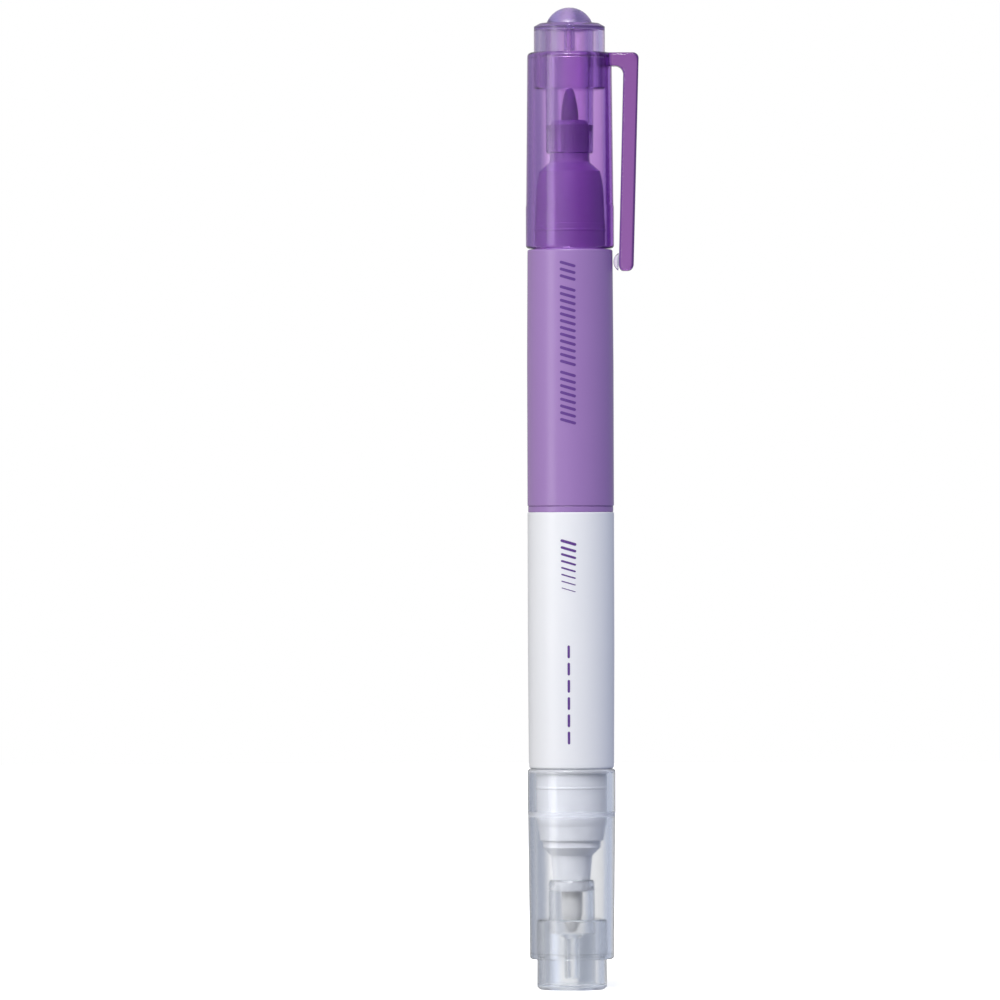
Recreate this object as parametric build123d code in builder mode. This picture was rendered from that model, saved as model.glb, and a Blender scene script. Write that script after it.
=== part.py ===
from build123d import *
from dataclasses import dataclass
from math import atan, cos, sin
import os

os.makedirs("parts", exist_ok=True)

# A double-ended marking pen, capped, standing on the flat end of its eraser cap.
# Millimetres. +Z runs up the pen's axis to the marker end, the pocket clip is on +X,
# and the origin is the centre of the eraser cap's end face.

# ---------------------------------------------------------------- driving dimensions
BARREL_R = 6.3               # barrel halves, over most of their length
BARREL_NECK_R = 6.2          # at the nose end of each barrel half
BARREL_TAPER = 17.0          # length of the slight taper between the two
BARREL_WALL_R = 4.95         # main bore of a barrel half
RING_WIDTH = 0.9             # lilac ring that shows between the two halves
RING_R = 6.2
COUPLING_DEPTH = 4.9         # centre plug into each half
COUPLING_WALL = 0.9
COUPLING_WEB = 1.6           # partition between the two fluids

NOSE_R = 5.15                # nose where it leaves the barrel, and its pressed-in stretch
NOSE_INSERT = 6.5
SNAP_BEAD_AT = 2.8           # from the barrel's end
SNAP_BEAD = 0.07             # height of the bead
SNAP_BEAD_HALF = 0.22        # half its length
NOSE_LEAD = 0.2              # taper on the pressed-in end of a nose
CHAMBER_R = 4.1              # hollow behind the nib bore
NIB_REACH = 23.9             # nib tip from the barrel's end
NIB_TAIL = 3.0               # nib inside the reservoir
RESERVOIR_R = 4.44
FILM = 0.15
RIB_WIDTH = 0.6
RIB_COUNT = 6

CAP_END_R = 6.13             # cap tube at its closed end
CAP_STEP_R = 6.35            # just behind the thicker mouth
CAP_MOUTH_R = 6.41
MOUTH_BORE_R = 5.36
CAP_LIP = 0.8                # inward lip that holds the end plug
SKIRT_STEP = 0.08            # skirt of the end plug, wider than its collar
SKIRT_WALL = 1.0
SEAL_WALL_GAP = 0.03         # seal tube to nose tip
SEAL_DRAFT = 0.13            # seal tube, wider at its root
DRAFT = 0.03                 # on the plug's neck and skirt

CLIP_OUT = 10.09             # outer face of the clip at the bridge, from the pen's axis
CLIP_LEAN = 0.84             # how much nearer the outer face is at the free end
CLIP_TOP = 136.4
CLIP_BRIDGE = 1.95           # height of the bridge
CLIP_TIP = 104.6
CLIP_WIDTH = 4.0
CLIP_TIP_WIDTH = 3.4
NUB_X = 6.38                 # inner face of the nub, from the pen's axis
NUB_HALF_WIDTH = 1.1
HINGE_X = 6.6                # line about which the clip flexes
KNUCKLE_R = 0.5
KNUCKLE_PLAY = 0.06

DOME_R = 3.57
DOME_BASE_R = 3.34
PEG_R = 0.38
PEG_LENGTH = 3.5
PEG_BOSS_R = 0.8
CORE_FROM = 24.05            # narrow blind hole in the clear plug, past the nib's tip
CORE_R = 0.7

SLIP = 0.02                  # radial play between pieces pushed into each other
THIN_SLIP = 0.01             # radial play of fibre pieces in their sleeves
GROOVE_WIDTH = 0.5           # air grooves along the nib bores
GROOVE_DEPTH = 0.225
END_GAP = 0.1                # play at the end of a piece that stands in a blind hole


@dataclass
class End:
    """One half of the pen. Distances run outwards from the end of its barrel half."""
    outline: Plane           # sketch x is the radius, sketch y the distance outwards
    barrel: float            # length of the barrel half
    nib_r: float
    tip: float               # end of the nose tip
    tip_root: tuple          # (radius, distance) where the nose tip starts
    tip_end: tuple           # (radius, distance) where its end rounding starts
    cap_mouth: float
    cap_step: float
    cap_end: float
    collar_r: float
    collar_end: float
    collar_wall: float       # thickness of the end face
    skirt_end: float
    seal_r: float
    seal_mouth: float
    seal_floor: float
    end_round: float         # rounding of the cap tube's closed end

    def cross(self, distance):
        """Plane across the pen at a distance outwards, facing outwards."""
        height = self.outline.from_local_coords((0, distance, 0))
        return Plane(origin=height, x_dir=(1, 0, 0), z_dir=self.outline.y_dir)

    def tip_radius(self, distance):
        """Radius of the tapered nose tip at a distance outwards."""
        (r0, d0), (r1, d1) = self.tip_root, self.tip_end
        return r0 + (r1 - r0) * (distance - d0) / (d1 - d0)


ERASER_BARREL_END = 32.2
ERASER_BARREL = 37.3
MARKER_BARREL = 37.35
RING_LOW = ERASER_BARREL_END + ERASER_BARREL
RING_HIGH = RING_LOW + RING_WIDTH
MARKER_BARREL_END = RING_HIGH + MARKER_BARREL

marker = End(
    outline=Plane(origin=(0, 0, MARKER_BARREL_END), x_dir=(1, 0, 0), z_dir=(0, -1, 0)),
    barrel=MARKER_BARREL,
    nib_r=1.28,
    tip=18.8, tip_root=(2.9, 13.0), tip_end=(2.74, 18.0),
    cap_mouth=0.15, cap_step=6.45, cap_end=28.7,
    collar_r=5.17, collar_end=32.95, collar_wall=0.9, skirt_end=23.25,
    seal_r=3.42, seal_mouth=13.95, seal_floor=32.05,
    end_round=0.6,
)
eraser = End(
    outline=Plane(origin=(0, 0, ERASER_BARREL_END), x_dir=(1, 0, 0), z_dir=(0, 1, 0)),
    barrel=ERASER_BARREL,
    nib_r=1.54,
    tip=17.9, tip_root=(2.95, 13.1), tip_end=(2.58, 17.7),
    cap_mouth=0.05, cap_step=6.7, cap_end=27.75,
    collar_r=5.07, collar_end=32.2, collar_wall=0.75, skirt_end=21.93,
    seal_r=3.3, seal_mouth=16.25, seal_floor=30.55,
    end_round=0.35,
)


def save(piece, name):
    """Label a finished piece and write it to its own file."""
    piece.part.label = name
    export_step(piece.part, f"parts/{name}.step")


# ---------------------------------------------------------------- pen body
def barrel_half(end):
    """Tube with a wider seat for the nose and ribs that hold the reservoir."""
    ribs_from, ribs_to = -end.barrel + COUPLING_DEPTH + 0.5, -NOSE_INSERT - 0.5
    with BuildPart() as piece:
        with BuildSketch(end.outline):
            with BuildLine():
                Polyline(
                    (NOSE_R + SLIP, 0),
                    (BARREL_NECK_R, 0),
                    (BARREL_R, -BARREL_TAPER),
                    (BARREL_R, -end.barrel),
                    (BARREL_WALL_R, -end.barrel),
                    (BARREL_WALL_R, -NOSE_INSERT),
                    (NOSE_R + SLIP, -NOSE_INSERT),
                    close=True,
                )
            make_face()
        revolve(axis=Axis.Z)
        rims = piece.edges().filter_by(GeomType.CIRCLE).filter_by(lambda e: e.radius > BARREL_NECK_R - 0.01)
        fillet(rims.filter_by(lambda e: e.radius < BARREL_R - 0.05), radius=0.3)
        ring_side = end.cross(-end.barrel).origin.Z
        fillet(
            piece.edges().filter_by(GeomType.CIRCLE).filter_by(
                lambda e: e.radius > BARREL_R - 0.01 and abs(e.center().Z - ring_side) < 0.01
            ),
            radius=0.15,
        )
        rib_height = BARREL_WALL_R - (RESERVOIR_R + THIN_SLIP + FILM + THIN_SLIP)
        with BuildSketch(end.cross(ribs_from)):
            with PolarLocations(BARREL_WALL_R - rib_height / 2 + 0.01, RIB_COUNT):
                Rectangle(rib_height + 0.02, RIB_WIDTH)
        extrude(amount=ribs_to - ribs_from)
    return piece


def nose_base():
    """Outline of the pressed-in end of a nose, up to and over its low round snap bead."""
    Line((CHAMBER_R, -NOSE_INSERT), (NOSE_R - NOSE_LEAD, -NOSE_INSERT))
    Line((NOSE_R - NOSE_LEAD, -NOSE_INSERT), (NOSE_R, -NOSE_INSERT + NOSE_LEAD))
    Line((NOSE_R, -NOSE_INSERT + NOSE_LEAD), (NOSE_R, SNAP_BEAD_AT - SNAP_BEAD_HALF))
    ThreePointArc(
        (NOSE_R, SNAP_BEAD_AT - SNAP_BEAD_HALF),
        (NOSE_R + SNAP_BEAD, SNAP_BEAD_AT),
        (NOSE_R, SNAP_BEAD_AT + SNAP_BEAD_HALF),
    )


def reservoir_rod(end):
    """Fibre rod with a blind hole for the tail of the nib."""
    inner_end = -end.barrel + COUPLING_DEPTH + END_GAP
    with BuildPart() as piece:
        with BuildSketch(end.cross(inner_end)):
            Circle(RESERVOIR_R)
        extrude(amount=-NOSE_INSERT - inner_end)
        with BuildSketch(end.cross(-NOSE_INSERT)):
            Circle(end.nib_r + THIN_SLIP)
        extrude(amount=-NIB_TAIL - END_GAP, mode=Mode.SUBTRACT)
    return piece


def reservoir_film(end):
    """Thin sleeve round the fibre rod, as long as the rod."""
    inner_end = -end.barrel + COUPLING_DEPTH + END_GAP
    with BuildPart() as piece:
        with BuildSketch(end.cross(inner_end)):
            Circle(RESERVOIR_R + THIN_SLIP + FILM)
            Circle(RESERVOIR_R + THIN_SLIP, mode=Mode.SUBTRACT)
        extrude(amount=-NOSE_INSERT - inner_end)
    return piece


def nib(end, shoulder, waist, ball_r):
    """Fibre rod with a bullet point that ends in a small ball."""
    slope = atan(0.5)
    ball_centre = NIB_REACH - ball_r
    tangent_point = (ball_r * cos(slope), ball_centre + ball_r * sin(slope))
    tail = -NOSE_INSERT - NIB_TAIL
    with BuildPart() as piece:
        with BuildSketch(end.outline):
            with BuildLine():
                Polyline(
                    (0, NIB_REACH),
                    (0, tail),
                    (end.nib_r - 0.2, tail),
                    (end.nib_r, tail + 0.2),
                    (end.nib_r, shoulder),
                )
                Spline((end.nib_r, shoulder), waist, tangent_point, tangents=((0, 1), (-0.5, 1)))
                RadiusArc(tangent_point, (0, NIB_REACH), -ball_r)
            make_face()
        revolve(axis=Axis.Z)
    return piece


marker_barrel = barrel_half(marker)
eraser_barrel = barrel_half(eraser)
marker_reservoir = reservoir_rod(marker)
eraser_reservoir = reservoir_rod(eraser)
marker_reservoir_film = reservoir_film(marker)
eraser_reservoir_film = reservoir_film(eraser)

with BuildPart() as centre_plug:
    spigot_r = BARREL_WALL_R - SLIP
    middle = (RING_LOW + RING_HIGH) / 2
    reach = RING_WIDTH / 2 + COUPLING_DEPTH
    with BuildSketch(Plane.XY.offset(middle - reach)):
        Circle(spigot_r)
    extrude(amount=2 * reach)
    chamfer(centre_plug.edges().filter_by(GeomType.CIRCLE), length=0.3)
    with BuildSketch(Plane.XY.offset(RING_LOW)):
        Circle(RING_R)
    extrude(amount=RING_WIDTH)
    ring_rims = centre_plug.edges().filter_by(GeomType.CIRCLE).filter_by(lambda e: e.radius > RING_R - 0.01)
    fillet(ring_rims, radius=0.12)
    for side in (1, -1):
        with BuildSketch(Plane(origin=(0, 0, middle + side * COUPLING_WEB / 2), z_dir=(0, 0, side))):
            Circle(spigot_r - COUPLING_WALL)
        extrude(amount=reach, mode=Mode.SUBTRACT)

with BuildPart() as marker_nose:
    nib_bore_r = marker.nib_r + SLIP
    bore_start = 9.9
    with BuildSketch(marker.outline):
        with BuildLine():
            nose_base()
            Line((NOSE_R, SNAP_BEAD_AT + SNAP_BEAD_HALF), (NOSE_R, 3.7))
            Line((NOSE_R, 3.7), (5.09, 3.8))
            Line((5.09, 3.8), (4.97, 7.4))
            TangentArc((4.97, 7.4), (4.41, 11.35), tangent=(-0.12, 3.6))
            Line((4.41, 11.35), (2.98, 12.6))
            Line((2.98, 12.6), marker.tip_root)
            Line(marker.tip_root, marker.tip_end)
            TangentArc(marker.tip_end, (2.2, marker.tip), tangent=(-0.03, 1))
            Line((2.2, marker.tip), (nib_bore_r, marker.tip))
            Line((nib_bore_r, marker.tip), (nib_bore_r, bore_start))
            Line((nib_bore_r, bore_start), (3.3, bore_start))
            Line((3.3, bore_start), (CHAMBER_R, 5.5))
            Line((CHAMBER_R, 5.5), (CHAMBER_R, -NOSE_INSERT))
        make_face()
    revolve(axis=Axis.Z)

holder_seat_r = 3.9
holder_face = 10.5
holder_spigot = 5.8
seat_bore_r = holder_seat_r + SLIP
seat_floor = holder_face - holder_spigot - 0.3

with BuildPart() as eraser_nose:
    with BuildSketch(eraser.outline):
        with BuildLine():
            nose_base()
            Line((NOSE_R, SNAP_BEAD_AT + SNAP_BEAD_HALF), (5.1, 7.3))
            TangentArc((5.1, 7.3), (4.88, 8.4), tangent=(-0.05, 4.3))
            Line((4.88, 8.4), (4.62, holder_face - 0.1))
            Line((4.62, holder_face - 0.1), (4.52, holder_face))
            Line((4.52, holder_face), (seat_bore_r, holder_face))
            Line((seat_bore_r, holder_face), (seat_bore_r, seat_floor))
            Line((seat_bore_r, seat_floor), (CHAMBER_R, 3.9))
            Line((CHAMBER_R, 3.9), (CHAMBER_R, -NOSE_INSERT))
        make_face()
    revolve(axis=Axis.Z)

with BuildPart() as eraser_nib_holder:
    nib_bore_r = eraser.nib_r + SLIP
    bore_start = 9.2
    with BuildSketch(eraser.outline):
        with BuildLine():
            Polyline(
                (nib_bore_r, bore_start),
                (2.9, bore_start),
                (2.9, holder_face - holder_spigot),
                (holder_seat_r - 0.2, holder_face - holder_spigot),
                (holder_seat_r, holder_face - holder_spigot + 0.3),
                (holder_seat_r, holder_face),
                (4.24, holder_face),
                (4.2, 11.5),
                (3.0, 12.7),
                eraser.tip_root,
                eraser.tip_end,
            )
            TangentArc(eraser.tip_end, (2.35, eraser.tip), tangent=(-0.08, 1))
            Polyline((2.35, eraser.tip), (nib_bore_r, eraser.tip), (nib_bore_r, bore_start))
        make_face()
    revolve(axis=Axis.Z)

# Three shallow air grooves run along each nib bore.
for end, carrier, groove_start in ((marker, marker_nose, 9.4), (eraser, eraser_nib_holder, 8.7)):
    with carrier:
        with BuildSketch(end.cross(groove_start)):
            with PolarLocations(end.nib_r + SLIP, 3, start_angle=30):
                Rectangle(2 * GROOVE_DEPTH, GROOVE_WIDTH)
        extrude(amount=end.tip - groove_start + GROOVE_WIDTH, mode=Mode.SUBTRACT)

marker_nib = nib(marker, shoulder=19.0, waist=(1.0, 21.5), ball_r=0.36)
eraser_nib = nib(eraser, shoulder=20.7, waist=(1.35, 21.9), ball_r=0.8)


# ---------------------------------------------------------------- caps
def cap_tube(end):
    """Open tube, thicker round its mouth, with a small lip that holds the end plug."""
    skirt_r = end.collar_r + SKIRT_STEP
    with BuildPart() as piece:
        with BuildSketch(end.outline):
            with BuildLine():
                Polyline(
                    (MOUTH_BORE_R + 0.15, end.cap_mouth),
                    (CAP_MOUTH_R, end.cap_mouth),
                    (CAP_MOUTH_R, end.cap_step - 0.1),
                    (CAP_STEP_R, end.cap_step),
                    (CAP_END_R, end.cap_end),
                    (end.collar_r + SLIP, end.cap_end),
                    (end.collar_r + SLIP, end.cap_end - CAP_LIP),
                    (skirt_r + SLIP, end.cap_end - CAP_LIP),
                    (skirt_r + SLIP, end.skirt_end),
                    (MOUTH_BORE_R - 0.05, end.cap_step + 0.35),
                    (MOUTH_BORE_R, end.cap_step - 0.2),
                    (MOUTH_BORE_R, end.cap_mouth + 0.15),
                    close=True,
                )
            make_face()
        revolve(axis=Axis.Z)
        circles = piece.edges().filter_by(GeomType.CIRCLE)
        mouth_z = end.cross(end.cap_mouth).origin.Z
        closed_z = end.cross(end.cap_end).origin.Z
        fillet(circles.filter_by(lambda e: e.radius > 6 and abs(e.center().Z - mouth_z) < 0.01), radius=0.4)
        fillet(
            circles.filter_by(lambda e: e.radius > 6 and abs(e.center().Z - closed_z) < 0.01),
            radius=end.end_round,
        )
    return piece


def end_plug(end, rim, core=None):
    """Collar that shows beyond the tube, skirt inside the tube, and seal tube over the nose tip.

    core is the narrow blind hole past the nib, as (start, radius). Without it the wide bore goes all the way.
    """
    skirt_r = end.collar_r + SKIRT_STEP
    skirt_bore = skirt_r - SKIRT_WALL
    tight = min(end.tip + 0.1, end.tip_end[1])
    bore_mouth = end.tip_radius(end.seal_mouth) + SEAL_WALL_GAP
    bore_deep = end.tip_radius(tight) + SEAL_WALL_GAP
    channel_floor = end.collar_end - end.collar_wall
    floor_corners = [(bore_deep - 0.03, end.seal_floor)]
    if core:
        core_from, core_r = core
        floor_corners = [
            (bore_deep - 0.03, core_from),
            (core_r + 0.5, core_from + 0.12),
            (core_r, core_from + 0.7),
            (core_r, end.seal_floor),
        ]
    with BuildPart() as piece:
        with BuildSketch(end.outline):
            with BuildLine():
                Polyline(
                    (0, end.collar_end),
                    (end.collar_r - rim[0], end.collar_end),
                    (end.collar_r, end.collar_end - rim[1]),
                    (end.collar_r, end.cap_end),
                    (end.collar_r - DRAFT, end.cap_end),
                    (end.collar_r - 2 * DRAFT, end.cap_end - CAP_LIP),
                    (skirt_r, end.cap_end - CAP_LIP),
                    (skirt_r - DRAFT, end.skirt_end + 0.25),
                    (skirt_r - 0.25, end.skirt_end),
                    (skirt_bore + 2 * DRAFT, end.skirt_end),
                    (skirt_bore, channel_floor),
                    (end.seal_r + SEAL_DRAFT, channel_floor),
                    (end.seal_r, end.seal_mouth + 0.35),
                    (end.seal_r - 0.15, end.seal_mouth),
                    (bore_mouth + 0.12, end.seal_mouth),
                    (bore_mouth, end.seal_mouth + 0.2),
                    (bore_deep, tight),
                    (bore_deep - 0.03, end.tip + 0.6),
                    *floor_corners,
                    (0, end.seal_floor),
                    close=True,
                )
            make_face()
        revolve(axis=Axis.Z)
    return piece


eraser_cap_tube = cap_tube(eraser)
eraser_cap_plug = end_plug(eraser, rim=(0.42, 0.42), core=(CORE_FROM, CORE_R))

# The marker cap's tube carries a short boss with a round knuckle for the clip.
hinge_z = CLIP_TOP - CLIP_BRIDGE / 2
boss_from, boss_to = 5.7, HINGE_X - 0.1
with BuildPart() as marker_cap_tube:
    add(cap_tube(marker).part)
    with BuildSketch(Plane.XZ):
        with Locations(((boss_from + boss_to) / 2, hinge_z)):
            Rectangle(boss_to - boss_from, CLIP_BRIDGE)
        with Locations((HINGE_X, hinge_z)):
            Circle(KNUCKLE_R)
    extrude(amount=CLIP_WIDTH / 2, both=True)

# The marker cap's plug has a boss under its end face, with a blind hole for the dome's peg.
with BuildPart() as marker_cap_plug:
    add(end_plug(marker, rim=(0.85, 0.48)).part)
    with BuildSketch(marker.cross(marker.collar_end - marker.collar_wall / 2)):
        Circle(PEG_BOSS_R)
    extrude(amount=-PEG_LENGTH)
    with BuildSketch(marker.cross(marker.collar_end)):
        Circle(PEG_R + SLIP)
    extrude(amount=-PEG_LENGTH - END_GAP, mode=Mode.SUBTRACT)

with BuildPart() as marker_cap_dome:
    dome_rise = DOME_R - (DOME_R ** 2 - DOME_BASE_R ** 2) ** 0.5
    base = marker.collar_end
    with BuildSketch(marker.outline):
        with BuildLine():
            Polyline(
                (0, base + dome_rise),
                (0, base - PEG_LENGTH),
                (PEG_R - 0.1, base - PEG_LENGTH),
                (PEG_R, base - PEG_LENGTH + 0.15),
                (PEG_R, base),
                (DOME_BASE_R, base),
            )
            RadiusArc((DOME_BASE_R, base), (0, base + dome_rise), -DOME_R)
        make_face()
    revolve(axis=Axis.Z)

# ---------------------------------------------------------------- pocket clip
with BuildPart() as pocket_clip:
    bridge_low = CLIP_TOP - CLIP_BRIDGE
    inner_top, inner_tip = 7.83, 7.06
    with BuildSketch(Plane.XZ) as side_view:
        with BuildLine():
            Polyline(
                (HINGE_X + 0.02, CLIP_TOP),
                (CLIP_OUT, CLIP_TOP),
                (CLIP_OUT - CLIP_LEAN, CLIP_TIP),
                (inner_tip, CLIP_TIP),
                (inner_top, bridge_low),
                (HINGE_X + 0.02, bridge_low),
                close=True,
            )
        make_face()
        corners = side_view.vertices()
        fillet(corners.filter_by(lambda v: v.X > CLIP_OUT - 0.1), radius=0.75)
        fillet(corners.filter_by(lambda v: v.Y < CLIP_TIP + 0.1 and v.X > inner_tip + 1), radius=0.85)
        fillet(corners.filter_by(lambda v: v.Y < CLIP_TIP + 0.1 and v.X < inner_tip + 1), radius=0.6)
        fillet(corners.filter_by(lambda v: abs(v.X - inner_top) < 0.01), radius=1.2)
        with Locations((HINGE_X, hinge_z)):
            Circle(KNUCKLE_R + KNUCKLE_PLAY, mode=Mode.SUBTRACT)
    extrude(amount=CLIP_WIDTH / 2, both=True)
    with BuildSketch(Plane.YZ) as front_view:
        with BuildLine():
            Polyline(
                (-CLIP_WIDTH / 2, CLIP_TOP),
                (CLIP_WIDTH / 2, CLIP_TOP),
                (CLIP_TIP_WIDTH / 2, CLIP_TIP),
                (-CLIP_TIP_WIDTH / 2, CLIP_TIP),
                close=True,
            )
        make_face()
        fillet(front_view.vertices().filter_by(lambda v: v.Y < CLIP_TIP + 0.1), radius=1.0)
    extrude(amount=CLIP_OUT + 1, mode=Mode.INTERSECT)
    with BuildSketch(Plane.XZ) as nub_view:
        with BuildLine():
            Polyline(
                (inner_tip + 0.4, CLIP_TIP + 0.15),
                (NUB_X + 0.35, CLIP_TIP + 0.15),
                (NUB_X, CLIP_TIP + 0.6),
                (NUB_X, CLIP_TIP + 1.0),
                (inner_tip + 0.06, CLIP_TIP + 2.65),
                (inner_tip + 0.4, CLIP_TIP + 2.65),
                close=True,
            )
        make_face()
        fillet(nub_view.vertices().filter_by(lambda v: v.X < NUB_X + 0.1), radius=0.3)
    extrude(amount=NUB_HALF_WIDTH, both=True)

# ---------------------------------------------------------------- files
for name, piece in {
    "marker_barrel": marker_barrel,
    "eraser_barrel": eraser_barrel,
    "centre_plug": centre_plug,
    "marker_nose": marker_nose,
    "eraser_nose": eraser_nose,
    "eraser_nib_holder": eraser_nib_holder,
    "marker_nib": marker_nib,
    "eraser_nib": eraser_nib,
    "marker_reservoir": marker_reservoir,
    "marker_reservoir_film": marker_reservoir_film,
    "eraser_reservoir": eraser_reservoir,
    "eraser_reservoir_film": eraser_reservoir_film,
    "marker_cap_tube": marker_cap_tube,
    "marker_cap_plug": marker_cap_plug,
    "marker_cap_dome": marker_cap_dome,
    "pocket_clip": pocket_clip,
    "eraser_cap_tube": eraser_cap_tube,
    "eraser_cap_plug": eraser_cap_plug,
}.items():
    save(piece, name)
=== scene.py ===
from dataclasses import dataclass
from functools import cache
from math import atan2, ceil, cos, pi, radians, sin, sqrt, tan

import bmesh
import bpy
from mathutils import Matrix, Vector


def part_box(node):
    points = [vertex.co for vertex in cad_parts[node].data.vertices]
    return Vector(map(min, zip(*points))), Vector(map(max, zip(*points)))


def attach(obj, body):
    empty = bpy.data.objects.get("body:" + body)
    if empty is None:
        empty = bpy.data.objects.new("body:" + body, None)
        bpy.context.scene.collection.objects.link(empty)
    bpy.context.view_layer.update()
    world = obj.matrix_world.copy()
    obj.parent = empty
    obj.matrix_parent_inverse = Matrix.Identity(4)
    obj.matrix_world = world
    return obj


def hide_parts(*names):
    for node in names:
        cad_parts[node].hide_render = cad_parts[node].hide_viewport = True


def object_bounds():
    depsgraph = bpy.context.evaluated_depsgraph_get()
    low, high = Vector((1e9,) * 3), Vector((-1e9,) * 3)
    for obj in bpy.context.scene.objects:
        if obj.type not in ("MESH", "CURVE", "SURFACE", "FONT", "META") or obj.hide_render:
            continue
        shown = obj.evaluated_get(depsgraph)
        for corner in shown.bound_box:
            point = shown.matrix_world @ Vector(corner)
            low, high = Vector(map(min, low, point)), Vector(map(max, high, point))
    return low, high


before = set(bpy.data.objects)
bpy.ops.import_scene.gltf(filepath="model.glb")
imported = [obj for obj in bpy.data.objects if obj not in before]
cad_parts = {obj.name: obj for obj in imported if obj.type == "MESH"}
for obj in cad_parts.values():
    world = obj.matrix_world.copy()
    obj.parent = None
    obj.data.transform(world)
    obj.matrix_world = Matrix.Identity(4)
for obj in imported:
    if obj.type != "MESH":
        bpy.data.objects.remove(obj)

# A double-ended fabric marking pen, capped, standing on the flat end of its clear cap.
# Metres in Blender; the outlines below are in millimetres and are scaled by MM.

MM = 0.001
cad_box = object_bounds()

# ---------------------------------------------------------------- sizes that the frame doesn't give
TURNS = 128                  # faces round a turned piece
FINE_ROUND = 0.05            # rounding of edges that only look sharp
LARGE_ROUND = 0.2            # from this radius on, a rounding is divided by ROUND_STEP
ROUND_STEP = radians(9)      # turn of the outline per face on a large rounding
FINE_STEP = radians(22.5)    # the same on a small one

DRAFT = 0.03                 # by which a moulded wall narrows along its length
SLIP = 0.02                  # between pieces that are pushed together

MOUTH_BORE_R = 5.36          # of both cap tubes
CAP_END_R = 6.13             # outer radius of both at their far ends
CAP_LIP = 0.8                # inward lip of the tube that holds the end plug
STEP_FROM = 0.3              # the end of a tube's thicker part starts this far before cap_step
OUTER_STEP = (0.06, 0.1)     # (drop in radius, end past cap_step) on the outside
BORE_STEP = (0.07, 0.35)     # and in the bore
STEP_ROUND = 0.6

SKIRT_STEP = 0.08            # how far the skirt stands out from the collar
SKIRT_WALL = 1.0
SKIRT_SEAT = 4.5             # length of the tube's bore that fits the skirt closely
SKIRT_BEVEL = 0.25           # of its end

SEAL_DRAFT = 0.13
SEAL_BEVEL = (0.15, 0.35)    # (width, height) outside the mouth of the seal tube
SEAL_FUNNEL = (0.12, 0.2)    # and inside it
SEAL_BITE = 0.01             # the seal tube grips the nose tip, so no air is left between them
GRIP_EASE = 0.6              # how far past the nose the bore is back at its full width
CORE_FLOOR_FALL = 0.12       # how far the floor slopes towards the hole
CORE_FUNNEL = (0.5, 0.7)     # (width, depth) of the hole's wider start

PEG_R = 0.38
PEG_POINT = (0.1, 0.15)      # (width, height) of the bevel at its foot
PEG_DEPTH = 3.5              # of its hole, less PEG_PLAY
PEG_PLAY = 0.1
PEG_BOSS_R = 0.8


@cache
def box_mm(node):
    """Lowest and highest corner of a CAD node, in millimetres."""
    lo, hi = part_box(node)
    return lo / MM, hi / MM


@dataclass
class Side:
    """One half of the pen. Distances run outwards from the end of its barrel half."""
    name: str
    plastic: str             # material slot of its barrel; not used
    root: float              # height of the barrel's end
    out: int                 # +1 where outwards is up
    cap_step: float          # where the thicker part of the cap tube ends
    end_round: float         # rounding of the tube's far end
    skirt_end: float         # where the end plug's skirt stops inside the tube
    collar_rim: tuple        # (width, height) of the bevel round the plug's end face
    collar_wall: float       # thickness of the plug's end
    seal_r: float            # outer radius of the seal tube near its mouth
    seal_mouth: float
    seal_floor: float
    nose_end: float
    tip_root: tuple          # (radius, distance) where the nose's tip starts to taper
    tip_end: tuple           # and where its taper ends
    core: tuple = ()         # (start, radius) of the narrow blind hole past the nib

    def height(self, distance):
        return self.root + self.out * distance

    def distance(self, height):
        return (height - self.root) * self.out

    def tip_radius(self, distance):
        (r0, d0), (r1, d1) = self.tip_root, self.tip_end
        return r0 + (r1 - r0) * (distance - d0) / (d1 - d0)

    def ends(self, node):
        """Nearest and furthest distance of a CAD node, and its largest radius across the clip."""
        lo, hi = box_mm(node)
        return *sorted((self.distance(lo.z), self.distance(hi.z))), hi.y


marker = Side(
    name="marker", plastic="lilac_plastic", root=box_mm("marker_barrel")[1].z, out=1,
    cap_step=6.45, end_round=0.6, skirt_end=23.25, collar_rim=(0.85, 0.48), collar_wall=0.9,
    seal_r=3.42, seal_mouth=13.95, seal_floor=32.05,
    nose_end=18.8, tip_root=(2.9, 13.0), tip_end=(2.74, 18.0),
)
eraser = Side(
    name="eraser", plastic="white_plastic", root=box_mm("eraser_barrel")[0].z, out=-1,
    cap_step=6.7, end_round=0.35, skirt_end=21.93, collar_rim=(0.42, 0.42), collar_wall=0.75,
    seal_r=3.3, seal_mouth=16.25, seal_floor=30.55, core=(24.05, 0.7),
    nose_end=17.9, tip_root=(2.95, 13.1), tip_end=(2.58, 17.7),
)


# ---------------------------------------------------------------- objects and meshes
def placed(name, data):
    """Object in the scene for a mesh, a light or a camera."""
    made = bpy.data.objects.new(name, data)
    bpy.context.collection.objects.link(made)
    return made


def new_piece(name, mesh, material, body):
    piece = placed(name, mesh)
    mesh.materials.append(material)
    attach(piece, body)
    return piece


def weight_normals(piece):
    """Keep flat faces looking flat beside small roundings."""
    weighted = piece.modifiers.new("weighted_normals", "WEIGHTED_NORMAL")
    weighted.weight = 80


def quarter_turn(steps):
    """Angles from 0 to a right angle."""
    return [pi / 2 * k / steps for k in range(steps + 1)]


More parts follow.
